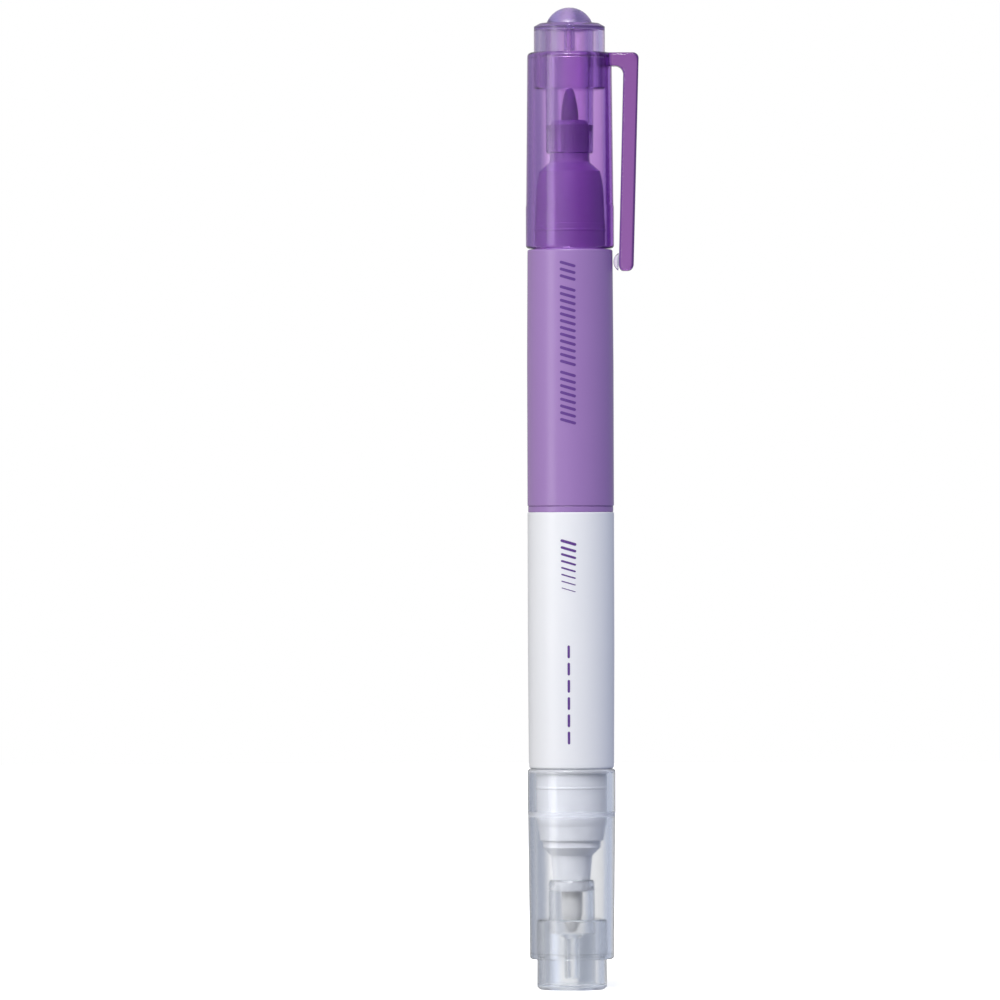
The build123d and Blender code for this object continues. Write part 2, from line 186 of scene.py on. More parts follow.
def rounded(corners):
    """Points (radius, height, normal radius part, normal height part) of an outline with rounded corners.

    corners are (radius, height, rounding). An outline whose first and last corners lie on the axis is
    open there, any other is closed. The result runs anticlockwise, with its normals pointing out.
    """
    open_ends = corners[0][0] == 0 and corners[-1][0] == 0
    area = sum(a[0] * b[1] - b[0] * a[1] for a, b in zip(corners, corners[1:] + corners[:1]))
    if area < 0:
        corners = corners[::-1]
    count = len(corners)
    points = []
    for i, (r, h, rounding) in enumerate(corners):
        here = Vector((r, h))
        if open_ends and i in (0, count - 1):
            other = corners[1] if i == 0 else corners[-2]
            run = Vector(other[:2]) - here if i == 0 else here - Vector(other[:2])
            run.normalize()
            points.append((r, h, run.y, -run.x))
            continue
        into = (here - Vector(corners[i - 1][:2])).normalized()
        leave = (Vector(corners[(i + 1) % count][:2]) - here).normalized()
        start = atan2(into.y, into.x)
        turn = (atan2(leave.y, leave.x) - start + pi) % (2 * pi) - pi
        hand = 1 if turn > 0 else -1
        centre = here - into * rounding * tan(abs(turn) / 2) + hand * rounding * Vector((-into.y, into.x))
        steps = max(1, ceil(abs(turn) / (ROUND_STEP if rounding >= LARGE_ROUND else FINE_STEP)))
        for k in range(steps + 1):
            a = start + turn * k / steps
            normal = Vector((sin(a), -cos(a)))
            at = centre + hand * rounding * normal
            points.append((at.x, at.y, normal.x, normal.y))
    return points, not open_ends


def lathe(name, side, corners):
    """Mesh of an outline turned about the pen's axis, with its exact smooth normals.

    corners are (radius, distance outwards, rounding).
    """
    points, closed = rounded([(r, side.height(d), rounding) for r, d, rounding in corners])
    verts, normals, rings = [], [], []
    for r, h, nr, nh in points:
        turns = 1 if r == 0 else TURNS
        rings.append(range(len(verts), len(verts) + turns))
        for j in range(turns):
            a = 2 * pi * j / TURNS
            verts.append((r * cos(a) * MM, r * sin(a) * MM, h * MM))
            normals.append((nr * cos(a), nr * sin(a), nh))
    faces = []
    for low, high in zip(rings, rings[1:] + (rings[:1] if closed else [])):
        for j in range(TURNS):
            k = (j + 1) % TURNS
            if len(low) == 1:
                faces.append((low[0], high[k], high[j]))
            elif len(high) == 1:
                faces.append((low[j], low[k], high[0]))
            else:
                faces.append((low[j], low[k], high[k], high[j]))
    mesh = bpy.data.meshes.new(name)
    mesh.from_pydata(verts, [], faces)
    mesh.shade_smooth()
    mesh.normals_split_custom_set_from_vertices(normals)
    return mesh


def bridge(form, rings):
    """Add rings of points, in millimetres, with faces between them. A ring of one point closes an end."""
    made = [[form.verts.new(Vector(p) * MM) for p in ring] for ring in rings]
    for low, high in zip(made, made[1:]):
        count = max(len(low), len(high))
        for j in range(count):
            k = (j + 1) % count
            if len(low) == 1:
                form.faces.new((low[0], high[j], high[k]))
            elif len(high) == 1:
                form.faces.new((low[j], high[0], low[k]))
            else:
                form.faces.new((low[j], high[j], high[k], low[k]))
    return made


def mesh_of(name, form):
    mesh = bpy.data.meshes.new(name)
    form.to_mesh(mesh)
    form.free()
    return mesh


def loft(name, rings):
    """Closed smooth mesh through rings of points."""
    form = bmesh.new()
    bridge(form, rings)
    bmesh.ops.recalc_face_normals(form, faces=form.faces)
    mesh = mesh_of(name, form)
    mesh.shade_smooth()
    return mesh


# ---------------------------------------------------------------- materials
class Shading:
    """Nodes of a material or of the world. A signal is a node's output, a colour is (red, green, blue)."""

    def __init__(self, owner, space):
        owner.use_nodes = True
        self.nodes, self.links = owner.node_tree.nodes, owner.node_tree.links
        self.place = self.add("TexCoord").outputs[space]

    def add(self, kind, inputs=(), **settings):
        node = self.nodes.new(f"ShaderNode{kind}")
        for name, value in settings.items():
            setattr(node, name, value)
        self.feed(node, inputs)
        return node

    def feed(self, node, inputs):
        """Give a node's inputs their values, each a number, a vector, a colour or a signal."""
        for key, value in dict(inputs).items():
            socket = node.inputs[key]
            if isinstance(value, bpy.types.NodeSocket):
                self.links.new(value, socket)
            elif socket.type == "RGBA":
                socket.default_value = (*value, 1)
            else:
                socket.default_value = value

    def along(self, axis):
        """Signal of the place's X, Y or Z."""
        return self.add("SeparateXYZ", {0: self.place}).outputs[axis]

    def maths(self, operation, *values):
        return self.add("Math", enumerate(values), operation=operation).outputs[0]

    def mapped(self, source, low, high, start=0, end=1, ease="LINEAR"):
        """The source's run from start to end turned into low to high, and held beyond them."""
        inputs = {"Value": source, "From Min": start, "From Max": end, "To Min": low, "To Max": high}
        return self.add("MapRange", inputs, interpolation_type=ease).outputs["Result"]

    def mix(self, factor, first, second, blend="MIX"):
        inputs = {"Factor": factor, "A": first, "B": second}
        return self.add("Mix", inputs, data_type="RGBA", blend_type=blend).outputs["Result"]

    def noise(self, scale, detail=3, stretch=(1, 1, 1)):
        """Noise texture, with scale in features per millimetre."""
        spread = self.add("Mapping", {"Vector": self.place, "Scale": stretch}).outputs[0]
        inputs = {"Vector": spread, "Scale": scale / MM, "Detail": detail}
        return self.add("TexNoise", inputs).outputs["Fac"]

    def bump(self, source, height_mm):
        return self.add("Bump", {"Height": source, "Distance": height_mm * MM}).outputs["Normal"]


def new_material(name):
    material = bpy.data.materials.new(name)
    tree = Shading(material, "Object")
    return material, tree, tree.nodes["Principled BSDF"]


WHITE = (1, 1, 1)
PLASTIC_IOR = 1.49
ABSORBED_ROOM = 1.25         # keeps every channel of an absorption colour above zero
PAINTED_BAND_CORE = 0.6              # share of a painted-light band's half width that is fully milky
THIN_INK = 1.25              # how much brighter the ink is where it is thin


def moulded(name, colour, shade, roughness):
    """Opaque moulded plastic: a faint change of colour, a soft uneven gloss and a fine surface ripple."""
    material, tree, shader = new_material(name)
    wear = tree.noise(1.6, detail=6, stretch=(1, 1, 0.35))
    tree.feed(shader, {
        "Base Color": tree.mix(tree.noise(0.12), colour, shade),
        "Roughness": tree.mapped(wear, roughness - 0.015, roughness + 0.02),
        "Normal": tree.bump(tree.noise(2.2, detail=4), 0.0012),
        "IOR": PLASTIC_IOR,
    })
    return material


def clear_of_painted_light(tree, painted_light_bands):
    """Signal that is 0 within bands of painted light (height, half width) round a piece and 1 away from
    them.
    """
    share = 1
    for height, half_width in painted_light_bands:
        apart = tree.maths("ABSOLUTE", tree.maths("SUBTRACT", tree.along("Z"), height * MM))
        fade = tree.mapped(apart, 0, 1, PAINTED_BAND_CORE * half_width * MM, half_width * MM, "SMOOTHSTEP")
        share = tree.maths("MULTIPLY", share, fade)
    return share


def see_through(name, taken, lamp_tint, roughness, tint=WHITE, painted_light_milk=0, painted_light_colour=WHITE, painted_light_bands=()):
    """Clear plastic. taken is what a millimetre of it absorbs of red, green and blue.

    tint is its skin's colour, lamp_tint what it lets through of a lamp's light. Within bands round the
    piece a share of milk, in its own colour, makes it less clear and paler: painted light, which lightens
    rims that would render dark and paints the bright ring that light makes at a step.
    """
    material, tree, shader = new_material(name)
    haze = tree.noise(0.5, detail=5, stretch=(1, 1, 0.3))
    flow = tree.noise(0.45, detail=2, stretch=(1, 1, 0.4))
    colour, clearness = tint, 1
    # Painted light: within the bands the skin turns milky and pale, as if light fell there.
    if painted_light_bands:
        share = clear_of_painted_light(tree, painted_light_bands)
        colour = tree.mix(share, painted_light_colour, tint)
        clearness = tree.mapped(share, 1 - painted_light_milk, 1)
    tree.feed(shader, {
        "Base Color": colour,
        "Transmission Weight": clearness,
        "IOR": PLASTIC_IOR,
        "Roughness": tree.mapped(haze, roughness * 0.6, roughness * 1.4),
        "Normal": tree.bump(flow, 0.012),
    })
    densest = ABSORBED_ROOM * max(taken)
    left = tuple(1 - t / densest for t in taken)
    inside = tree.add("VolumeAbsorption", {"Color": left, "Density": densest / MM})
    lamp = tree.add("BsdfTransparent", {"Color": lamp_tint})
    to_lamp = tree.add("LightPath").outputs["Is Shadow Ray"]
    skin = tree.add("MixShader", {"Fac": to_lamp, 1: shader.outputs[0], 2: lamp.outputs[0]})
    tree.feed(tree.nodes["Material Output"], {"Surface": skin.outputs[0], "Volume": inside.outputs[0]})
    return material


def fibre(name, root_colour, tip_colour, from_z, to_z):
    """Bonded fibre, with its grain along the pen and a colour that changes from root to tip."""
    material, tree, shader = new_material(name)
    share = tree.mapped(tree.along("Z"), 0, 1, from_z * MM, to_z * MM)
    strands = tree.noise(9, detail=4, stretch=(1, 1, 0.06))
    tone = tree.mix(strands, (0.86, 0.86, 0.86), WHITE)
    tree.feed(shader, {
        "Base Color": tree.mix(1, tree.mix(share, root_colour, tip_colour), tone, "MULTIPLY"),
        "Roughness": 0.85,
        "Normal": tree.bump(strands, 0.03),
    })
    return material


def printed(name, colour):
    """Pad-printed ink, thin and slightly uneven."""
    material, tree, shader = new_material(name)
    patch = tree.noise(3, detail=5)
    lighter = tuple(THIN_INK * c for c in colour)
    tree.feed(shader, {
        "Base Color": tree.mix(patch, colour, lighter),
        "Roughness": tree.mapped(patch, 0.3, 0.45),
    })
    return material


lilac = moulded("lilac_plastic", (0.34, 0.20, 0.485), (0.325, 0.185, 0.465), roughness=0.26)
lilac_nose = moulded("lilac_nose_plastic", (0.36, 0.205, 0.47), (0.335, 0.185, 0.445), roughness=0.22)
white = moulded("white_plastic", (0.86, 0.865, 0.90), (0.83, 0.84, 0.88), roughness=0.32)
film = moulded("film", (0.82, 0.82, 0.82), (0.78, 0.78, 0.80), roughness=0.3)
ink = printed("print_ink", (0.10, 0.034, 0.22))

purple = see_through(
    "purple_translucent", taken=(0.275, 0.56, 0.145), lamp_tint=(0.53, 0.405, 0.60), roughness=0.09
)
# The milky lavender band round the end of the collar is painted light: it lightens the bevelled rim, which
# renders dark.
purple_plug = see_through(
    "purple_plug", taken=(0.09, 0.15, 0.05), lamp_tint=(0.96, 0.70, 1.0), roughness=0.09,
    tint=(0.91, 0.83, 0.94), painted_light_milk=0.24, painted_light_colour=(0.42, 0.29, 0.60),
    painted_light_bands=[(box_mm("marker_cap_plug")[1].z - 0.35, 0.75)],
)
purple_clip = see_through(
    "purple_clip", taken=(0.16, 0.29, 0.12), lamp_tint=(0.50, 0.38, 0.58), roughness=0.08,
    tint=(0.53, 0.32, 0.62),
)
pale = see_through(
    "pale_translucent", taken=(0.12, 0.18, 0.06), lamp_tint=(0.7, 0.66, 0.78), roughness=0.24
)
# Its milky bands are painted light: at the cap step a painted highlight for the bright ring that light
# makes at the bore's ledge, at the mouth a lightening of the rim, which renders dark.
clear = see_through(
    "clear_plastic", taken=(0.042, 0.036, 0.025), lamp_tint=(0.74, 0.745, 0.76), roughness=0.12,
    painted_light_milk=0.35, painted_light_colour=(0.95, 0.96, 1),
    painted_light_bands=[(eraser.height(eraser.cap_step), 0.45), (box_mm("eraser_cap_tube")[1].z, 0.7)],
)
# Its milky band at the foot is painted light: it lightens the end face and its bevelled rim, as if lit.
frosted = see_through(
    "clear_plug_plastic", taken=(0.016, 0.013, 0.009), lamp_tint=(0.97, 0.97, 0.97), roughness=0.17,
    painted_light_milk=0.35, painted_light_colour=(0.93, 0.94, 0.97), painted_light_bands=[(0.2, 0.55)],
)

NIB_FADE = 5                 # length of a nib over which its colour changes
marker_tip, eraser_tip = box_mm("marker_nib")[1].z, box_mm("eraser_nib")[0].z
marker_fibre = fibre(
    "marker_fibre", (0.34, 0.19, 0.42), (0.29, 0.11, 0.42), marker_tip - NIB_FADE, marker_tip
)
eraser_fibre = fibre(
    "eraser_fibre", (0.82, 0.81, 0.80), (0.86, 0.85, 0.83), eraser_tip + NIB_FADE, eraser_tip
)

for node, material in {
    "marker_barrel": lilac,
    "eraser_barrel": white,
    "centre_plug": lilac,
    "marker_nose": lilac_nose,
    "eraser_nose": white,
    "eraser_nib_holder": white,
    "marker_nib": marker_fibre,
    "eraser_nib": eraser_fibre,
    "marker_reservoir": marker_fibre,
    "eraser_reservoir": eraser_fibre,
    "marker_reservoir_film": film,
    "eraser_reservoir_film": film,
}.items():
    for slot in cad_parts[node].material_slots:
        slot.material = material


# ---------------------------------------------------------------- caps
def cap_tube(side, material):
    """Open tube, thicker round its mouth, with a lip that holds the end plug."""
    node = f"{side.name}_cap_tube"
    mouth, end, mouth_r = side.ends(node)
    skirt_r = side.ends(f"{side.name}_cap_plug")[2]
    collar_bore_r = skirt_r - SKIRT_STEP + SLIP
    step_from, lip_to = side.cap_step - STEP_FROM, end - CAP_LIP
    outer_drop, outer_to = OUTER_STEP
    bore_drop, bore_to = BORE_STEP
    mesh = lathe(f"{node}_shell", side, [
        (MOUTH_BORE_R, mouth, 0.4),
        (mouth_r, mouth, 0.45),
        (mouth_r, step_from, STEP_ROUND),
        (mouth_r - outer_drop, side.cap_step + outer_to, STEP_ROUND),
        (CAP_END_R, end, side.end_round),
        (collar_bore_r, end, 0.06),
        (collar_bore_r, lip_to, FINE_ROUND),
        (skirt_r + SLIP, lip_to, 0.03),
        (skirt_r + SLIP, lip_to - SKIRT_SEAT, 0.5),
        (MOUTH_BORE_R - bore_drop, side.cap_step + bore_to, STEP_ROUND),
        (MOUTH_BORE_R, step_from, STEP_ROUND),
    ])
    piece = new_piece(f"{node}_shell", mesh, material, f"{side.name}_cap")
    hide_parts(node)


def core_hole(side):
    """Outline of the seal tube's floor, where a narrow blind hole starts from it in a funnel."""
    core_from, core_r = side.core
    width, depth = CORE_FUNNEL
    return [
        (side.tip_end[0], core_from, 0.1),
        (core_r + width, core_from + CORE_FLOOR_FALL, 0.1),
        (core_r, core_from + depth, 0.15),
        (core_r, side.seal_floor, 0.1),
    ]


def peg_hole(side, collar_end):
    """Outlines of a peg's blind hole in the plug's end face, and of the boss round it underneath."""
    hole_floor = collar_end - PEG_DEPTH - PEG_PLAY
    boss_end = collar_end - side.collar_wall / 2 - PEG_DEPTH
    hole = [
        (0, hole_floor, 0),
        (PEG_R + SLIP, hole_floor, FINE_ROUND),
        (PEG_R + SLIP, collar_end, FINE_ROUND),
    ]
    boss = [
        (PEG_BOSS_R, side.seal_floor, 0.2),
        (PEG_BOSS_R, boss_end, 0.15),
        (0, boss_end, 0),
    ]
    return hole, boss


def end_plug(side, material, pegged=False):
    """Collar, skirt and seal tube in one moulding, with a blind hole in a boss where a peg goes in."""
    node = f"{side.name}_cap_plug"
    tube_end = side.ends(f"{side.name}_cap_tube")[1]
    _, collar_end, skirt_r = side.ends(node)
    collar_r, skirt_bore = skirt_r - SKIRT_STEP, skirt_r - SKIRT_WALL
    lip_to, channel_floor = tube_end - CAP_LIP, collar_end - side.collar_wall
    rim_width, rim_height = side.collar_rim
    bevel_width, bevel_height = SEAL_BEVEL
    funnel_width, funnel_height = SEAL_FUNNEL
    grip_r = side.tip_radius(side.seal_mouth) - SEAL_BITE
    tip_r, taper_end = side.tip_end
    end_face, underside = [(0, collar_end, 0)], [(0, side.seal_floor, 0)]
    if pegged:
        end_face, underside = peg_hole(side, collar_end)
    mesh = lathe(f"{node}_moulding", side, [
        *end_face,
        (collar_r - rim_width, collar_end, 0.1),
        (collar_r, collar_end - rim_height, 0.1),
        (collar_r, tube_end, 0.01),
        (collar_r - DRAFT, tube_end, 0.01),
        (collar_r - 2 * DRAFT, lip_to, 0.02),
        (skirt_r, lip_to, 0.03),
        (skirt_r - DRAFT, side.skirt_end + SKIRT_BEVEL, 0.2),
        (skirt_r - SKIRT_BEVEL, side.skirt_end, 0.2),
        (skirt_bore + 2 * DRAFT, side.skirt_end, 0.25),
        (skirt_bore, channel_floor, 0.15),
        (side.seal_r + SEAL_DRAFT, channel_floor, 0.15),
        (side.seal_r, side.seal_mouth + bevel_height, 0.1),
        (side.seal_r - bevel_width, side.seal_mouth, 0.08),
        (grip_r + funnel_width, side.seal_mouth, 0.05),
        (grip_r, side.seal_mouth + funnel_height, 0.1),
        (tip_r - SEAL_BITE, taper_end, 0.1),
        (tip_r, side.nose_end + GRIP_EASE, 0.1),
        *(core_hole(side) if side.core else [(tip_r, side.seal_floor, 0.2)]),
        *underside,
    ])
    piece = new_piece(f"{node}_moulding", mesh, material, f"{side.name}_cap")
    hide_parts(node)


BEAD_GAP = 0.01              # between the bead's base and the collar
BEAD_SHARE = 0.985           # of the ball's radius, so that the arc's ends stay on their straight runs


def dome():
    """Round bead with a peg, set in the end of the marker cap."""
    foot, top, base_r = marker.ends("marker_cap_dome")
    base = marker.ends("marker_cap_plug")[1] + BEAD_GAP
    rise = top - base
    ball_r = (base_r ** 2 + rise ** 2) / (2 * rise)
    # The bead's arc is the rounding of the corner where its tangents at the base and the top meet.
    corner_r = ball_r * tan(0.5 * atan2(base_r, ball_r - rise))
    point_width, point_height = PEG_POINT
    mesh = lathe("cap_bead", marker, [
        (0, top, 0),
        (corner_r, top, ball_r * BEAD_SHARE),
        (base_r, base, 0.03),
        (PEG_R, base, FINE_ROUND),
        (PEG_R, foot + point_height, FINE_ROUND),
        (PEG_R - point_width, foot, FINE_ROUND),
        (0, foot, 0),
    ])
    piece = new_piece("cap_bead", mesh, pale, "marker_cap")
    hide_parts("marker_cap_dome")


cap_tube(marker, purple)
end_plug(marker, purple_plug, pegged=True)
dome()
cap_tube(eraser, clear)
end_plug(eraser, frosted)


# ---------------------------------------------------------------- pocket clip
# Seen from the side: a bridge runs out from the cap's top, bends down and becomes an arm with a
# rounded tip. A cross-section is (outer point, inner point, half width), with points (x, z).
clip_lo, clip_hi = box_mm("pocket_clip")
CLIP_TOP, CLIP_TIP, CLIP_OUT = clip_hi.z, clip_lo.z, clip_hi.x
BRIDGE_FLOOR = CLIP_TOP - 1.95
CLIP_WIDTH, CLIP_TIP_WIDTH = 4.0, 3.4
CLIP_EDGE = 0.45             # rounding of its long edges
EDGE_LIMIT = 0.9             # largest rounding, as a share of the half thickness or half width
OUTER_LEAN = 0.84            # how far the outer face comes in from top to tip
INNER_TOP, INNER_TIP = 7.83, 7.06      # the inner face's distance from the pen's axis
OUTER_ROUND, INNER_ROUND = 0.85, 1.2   # of the bend
OUTER_BEND, INNER_BEND = CLIP_OUT - OUTER_ROUND, INNER_TOP - INNER_ROUND   # where the bend starts
TIP_LENGTH = 1.0             # of the tip's rounding
TIP_INSETS = (0.85, 0.6, 1.0)          # at its end: outer face, inner face, each side
ROOT_X = 6.4                 # where the bridge's even cross-sections start
ROOT_BITE = 0.02             # the clip's root enters the tube's skin, so no air shows between them
ROOT_RINGS = (0.35, 0.7, 1.0)          # sizes of the rings that fill the root's end
BRIDGE_STEPS, BEND_STEPS, ARM_STEPS, TIP_STEPS, EDGE_STEPS = 6, 12, 16, 8, 5


def clip_half_width(z):
    share = (z - CLIP_TIP) / (CLIP_TOP - CLIP_TIP)
    return (CLIP_TIP_WIDTH + (CLIP_WIDTH - CLIP_TIP_WIDTH) * share) / 2


def bridge_sections():
    """The bridge runs straight out from the cap."""
    sections = []
    for k in range(BRIDGE_STEPS):
        share = k / BRIDGE_STEPS
        outer = (ROOT_X + (OUTER_BEND - ROOT_X) * share, CLIP_TOP)
        inner = (ROOT_X + (INNER_BEND - ROOT_X) * share, BRIDGE_FLOOR)
        sections.append((outer, inner, CLIP_WIDTH / 2))
    return sections


def bend_sections():
    """The bend has its own rounding on each face."""
    sections = []
    for a in quarter_turn(BEND_STEPS):
        outer = (OUTER_BEND + OUTER_ROUND * sin(a), CLIP_TOP - OUTER_ROUND * (1 - cos(a)))
        inner = (INNER_BEND + INNER_ROUND * sin(a), BRIDGE_FLOOR - INNER_ROUND * (1 - cos(a)))
        sections.append((outer, inner, clip_half_width(min(outer[1], BRIDGE_FLOOR))))
    return sections


def arm_sections():
    """The arm leans in towards its tip."""
    sections = []
    outer_from, inner_from = CLIP_TOP - OUTER_ROUND, BRIDGE_FLOOR - INNER_ROUND
    arm_end = CLIP_TIP + TIP_LENGTH
    outer_lean = OUTER_LEAN / (CLIP_TOP - CLIP_TIP)
    inner_lean = (INNER_TOP - INNER_TIP) / (BRIDGE_FLOOR - CLIP_TIP)
    for k in range(1, ARM_STEPS + 1):
        outer_fall = (outer_from - arm_end) * k / ARM_STEPS
        inner_fall = (inner_from - arm_end) * k / ARM_STEPS
        outer = (CLIP_OUT - outer_lean * outer_fall, outer_from - outer_fall)
        inner = (INNER_TOP - inner_lean * inner_fall, inner_from - inner_fall)
        sections.append((outer, inner, clip_half_width(outer[1])))
    return sections


def tip_sections(outer, inner, half_width):
    """The tip draws in from the arm's last cross-section on all sides."""
    sections = []
    for a in quarter_turn(TIP_STEPS)[1:]:
        z = CLIP_TIP + TIP_LENGTH * (1 - sin(a))
        from_outer, from_inner, from_side = (inset * (1 - cos(a)) for inset in TIP_INSETS)
        sections.append(((outer[0] - from_outer, z), (inner[0] + from_inner, z), half_width - from_side))
    return sections


def clip_ring(outer, inner, half_width, size=1.0):
    """Rounded rectangle across the clip between an outer and an inner point."""
    middle = Vector(((outer[0] + inner[0]) / 2, 0, (outer[1] + inner[1]) / 2))
    across = Vector((outer[0] - inner[0], 0, outer[1] - inner[1]))
    half = across.length / 2 * size
    across.normalize()
    wide = half_width * size
    edge = min(CLIP_EDGE, EDGE_LIMIT * half, EDGE_LIMIT * wide) * size
    ring = []
    for quarter, (u, v) in enumerate(((1, 1), (-1, 1), (-1, -1), (1, -1))):
        for k in range(EDGE_STEPS + 1):
            a = pi / 2 * (quarter + k / EDGE_STEPS)
            out = u * (half - edge) + edge * cos(a)
            aside = v * (wide - edge) + edge * sin(a)
            ring.append(middle + across * out + Vector((0, aside, 0)))
    return ring


def on_cap(point):
    """The point moved in or out until it lies just inside the cap tube's skin, round its shoulder too."""
    tube_end = marker.ends("marker_cap_tube")[1]
    shoulder = marker.height(tube_end) - marker.end_round
    over = min(max(point.z - shoulder, 0), marker.end_round)
    radius = CAP_END_R - marker.end_round + sqrt(marker.end_round ** 2 - over ** 2) - ROOT_BITE
    return Vector((sqrt(radius ** 2 - point.y ** 2), point.y, point.z))


def middle_of(ring):
    return sum((Vector(p) for p in ring), Vector()) / len(ring)


def pocket_clip():
    sections = bridge_sections() + bend_sections() + arm_sections()
    sections += tip_sections(*sections[-1])
    root = [[on_cap(p) for p in clip_ring(*sections[0], size)] for size in ROOT_RINGS]
    root_middle = on_cap(Vector((0, 0, (CLIP_TOP + BRIDGE_FLOOR) / 2)))
    rings = [clip_ring(*section) for section in sections]
    end_middle = middle_of(rings[-1])
    inside_end = [(end_middle + p) / 2 for p in rings[-1]]
    mesh = loft("clip_arm", [[root_middle], *root, *rings, inside_end, [end_middle]])
    piece = new_piece("clip_arm", mesh, purple_clip, "pocket_clip")
    weight_normals(piece)
    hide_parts("pocket_clip")


NUB_FROM, NUB_TO = CLIP_TIP + 0.1, CLIP_TIP + 2.6
NUB_HALF_WIDTH = 0.85
NUB_PEAK_X = 6.34            # how near its peak comes to the pen's axis
NUB_BACK_OFF = 0.01          # of its back from the line between INNER_TIP and INNER_TOP
NUB_FULLNESS = 0.7           # below 1 a fuller lobe, above 1 a more pointed one
NUB_ROUND = 0.18             # rounding of the edges of its two flat sides
NUB_STEPS, NUB_ROUND_STEPS = 24, 4


def nub_back(z):
    """Distance of the nub's back from the pen's axis."""
    share = (z - CLIP_TIP) / (BRIDGE_FLOOR - CLIP_TIP)
    return INNER_TIP + (INNER_TOP - INNER_TIP) * share - NUB_BACK_OFF


def nub_outline(inset):
    """Lobe on the clip's inner face, seen from the side, drawn in by inset all round its free edge."""
    middle, half = (NUB_FROM + NUB_TO) / 2, (NUB_TO - NUB_FROM) / 2 - inset
    points = []
    for k in range(NUB_STEPS + 1):
        turn = pi * k / NUB_STEPS
        z = middle - half * cos(turn)
        out = sin(turn) ** (2 * NUB_FULLNESS)
        points.append((nub_back(z) - (nub_back(z) - NUB_PEAK_X - inset) * out, z))
    for share in (0.5, 0, -0.5):
        z = middle + half * share
        points.append((nub_back(z), z))
    return points


def clip_nub():
    """Flat-sided lobe on the inner face, near the tip, that presses on the cloth."""
    turns = quarter_turn(NUB_ROUND_STEPS)
    rings = []
    for hand, angles in ((-1, turns), (1, turns[::-1])):
        for a in angles:
            y = hand * (NUB_HALF_WIDTH - NUB_ROUND * (1 - cos(a)))
            rings.append([(x, y, z) for x, z in nub_outline(NUB_ROUND * (1 - sin(a)))])
    mesh = loft("clip_nub", [[middle_of(rings[0])], *rings, [middle_of(rings[-1])]])
    piece = new_piece("clip_nub", mesh, pale, "pocket_clip")
    weight_normals(piece)


pocket_clip()
clip_nub()


# ---------------------------------------------------------------- printed marks
PRINT_LIFT = 0.004           # of the ink's back above the barrel
PRINT_THICK = 0.016
PRINT_SHIFT = -0.4           # of the printed column, along the front of the pen
BARREL_TAPER = (0.1, 17.0)   # (drop in radius, length) at a barrel's nose end
STROKE_PIECE = 0.35          # longest straight piece of a stroke, which follows the barrel
STROKE_POINT = 0.01          # half width where its round end starts
STROKE_END_STEPS = 5


def barrel_radius(side, z):
    """Outer radius of a barrel half, which narrows a little towards its nose."""
    drop, length = BARREL_TAPER
    full = box_mm(f"{side.name}_barrel")[1].y
    return full - drop * max(0, 1 + side.distance(z) / length)


def on_barrel(side, across, z, lift):
    """Point on the front of the barrel, with across measured round it."""
    radius = barrel_radius(side, z)
    angle = across / radius
    return ((radius + lift) * sin(angle), -(radius + lift) * cos(angle), z)


def stroke_rings(side, start, end, width):
    """Cross-sections of one round-ended printed stroke, from start to end as (across, height)."""
    a, b = Vector(start), Vector(end)
    run = (b - a).normalized()
    across = Vector((-run.y, run.x))
    length, half = (b - a).length, width / 2
    pieces = max(2, ceil(length / STROKE_PIECE))
    turns = quarter_turn(STROKE_END_STEPS)
    stations = [
        *((-half * cos(t), half * sin(t)) for t in turns[:-1]),
        *((length * k / pieces, half) for k in range(pieces + 1)),
        *((length + half * sin(t), half * cos(t)) for t in turns[1:]),
    ]
    rings = []
    for along, reach in stations:
        middle = a + run * along
        reach = max(reach, STROKE_POINT)
        edges = (middle - across * reach, middle, middle + across * reach)
        rings.append(
            [on_barrel(side, p.x, p.y, PRINT_LIFT) for p in edges]
            + [on_barrel(side, p.x, p.y, PRINT_LIFT + PRINT_THICK) for p in reversed(edges)]
        )
    return rings


def print_mark(name, side, strokes):
    """One printed mark made of strokes (start, end, width)."""
    form = bmesh.new()
    for start, end, width in strokes:
        rings = bridge(form, stroke_rings(side, start, end, width))
        form.faces.new(rings[0][::-1])
        form.faces.new(rings[-1])
    bmesh.ops.recalc_face_normals(form, faces=form.faces)
    new_piece(name, mesh_of(name, form), ink, "pen_body")


BAR_HALF = 0.95              # of a slanted bar, along the pen's width
BAR_SLANT = 0.55
BAR_WIDTH = 0.42
BAR_PITCH = 0.98
GROUP_GAP = 0.62             # more than BAR_PITCH, between two groups of bars
FADING = 0.1                 # share of its width that each fading bar loses to the one before
DASH_LENGTH, DASH_PITCH, DASH_WIDTH = 1.5, 2.5, 0.36


def slanted_bars(top, groups, width_at):
    """Groups of parallel slanted bars down the pen, like satin stitches."""
    strokes, z = [], top
    for count in groups:
        for _ in range(count):
            strokes.append((
                (PRINT_SHIFT - BAR_HALF, z + BAR_SLANT / 2),
                (PRINT_SHIFT + BAR_HALF, z - BAR_SLANT / 2),
                width_at(len(strokes)),
            ))
            z -= BAR_PITCH
        z -= GROUP_GAP
    return strokes


def dashes(top, count):
    """A row of dashes down the pen, like running stitches."""
    tops = [top - DASH_PITCH * k for k in range(count)]
    return [((PRINT_SHIFT, z), (PRINT_SHIFT, z - DASH_LENGTH), DASH_WIDTH) for z in tops]


stitch_top = marker.root - 2.25
fading_top = box_mm("eraser_barrel")[1].z - 4.4
dash_top = box_mm("eraser_barrel")[1].z - 19.5
print_mark("marker_stitch_print", marker, slanted_bars(stitch_top, (3, 12, 8), lambda n: BAR_WIDTH))
print_mark("eraser_fading_print", eraser, slanted_bars(
    fading_top, (8,), lambda n: BAR_WIDTH * (1 - FADING * n)
))
print_mark("eraser_running_print", eraser, dashes(dash_top, 6))


